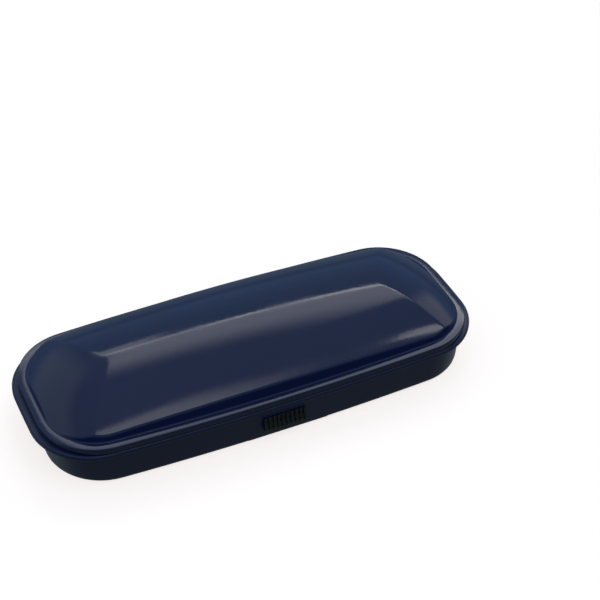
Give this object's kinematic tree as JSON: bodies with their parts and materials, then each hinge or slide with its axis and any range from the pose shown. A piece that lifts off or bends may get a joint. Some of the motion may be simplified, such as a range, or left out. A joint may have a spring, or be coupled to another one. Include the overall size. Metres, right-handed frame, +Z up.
{
  "type": "eyeglasses case",
  "caption": "Slim hard eyeglasses case with a domed lid, rear pin hinges, lined shells and a sliding thumb latch in front.",
  "frame": {"origin": "centre of the flat underside, on the surface that the case stands on", "axes": "+X along the length, to the right seen from the latch side; -Y towards the latch; +Z up"},
  "size_m": [0.1648, 0.0677, 0.0287],
  "materials": {
    "tray_plastic": "moulded navy plastic, satin gloss",
    "lid_plastic": "moulded navy plastic, high gloss",
    "lining": "short flocked velour, matt",
    "latch_plastic": "moulded black plastic, semi-matt",
    "steel": "drawn stainless steel"
  },
  "bodies": {
    "tray": {"tray_shell": "tray_plastic", "tray_lining": "lining", "hinge_pin_left": "steel", "hinge_pin_right": "steel", "latch_cover": "latch_plastic", "cover_screws": "steel", "latch_spring": "steel"},
    "lid": {"lid_shell": "lid_plastic", "lid_lining": "lining", "lid_catch": "latch_plastic"},
    "latch": {"latch_button": "latch_plastic", "latch_slider": "latch_plastic"}
  },
  "joints": [
    {"name": "lid_hinge", "type": "hinge", "parent": "tray", "child": "lid", "pos_m": [0, 0.0324, 0.0129], "axis": [-1, 0, 0], "range_deg": [0, 115], "deforming": ["lid_catch"]},
    {"name": "latch_slide", "type": "slide", "parent": "tray", "child": "latch", "axis": [1, 0, 0], "range_m": [0, 0.003], "stiffness_N_per_m": 150, "springref_m": -0.003, "deforming": ["latch_spring"]}
  ]
}
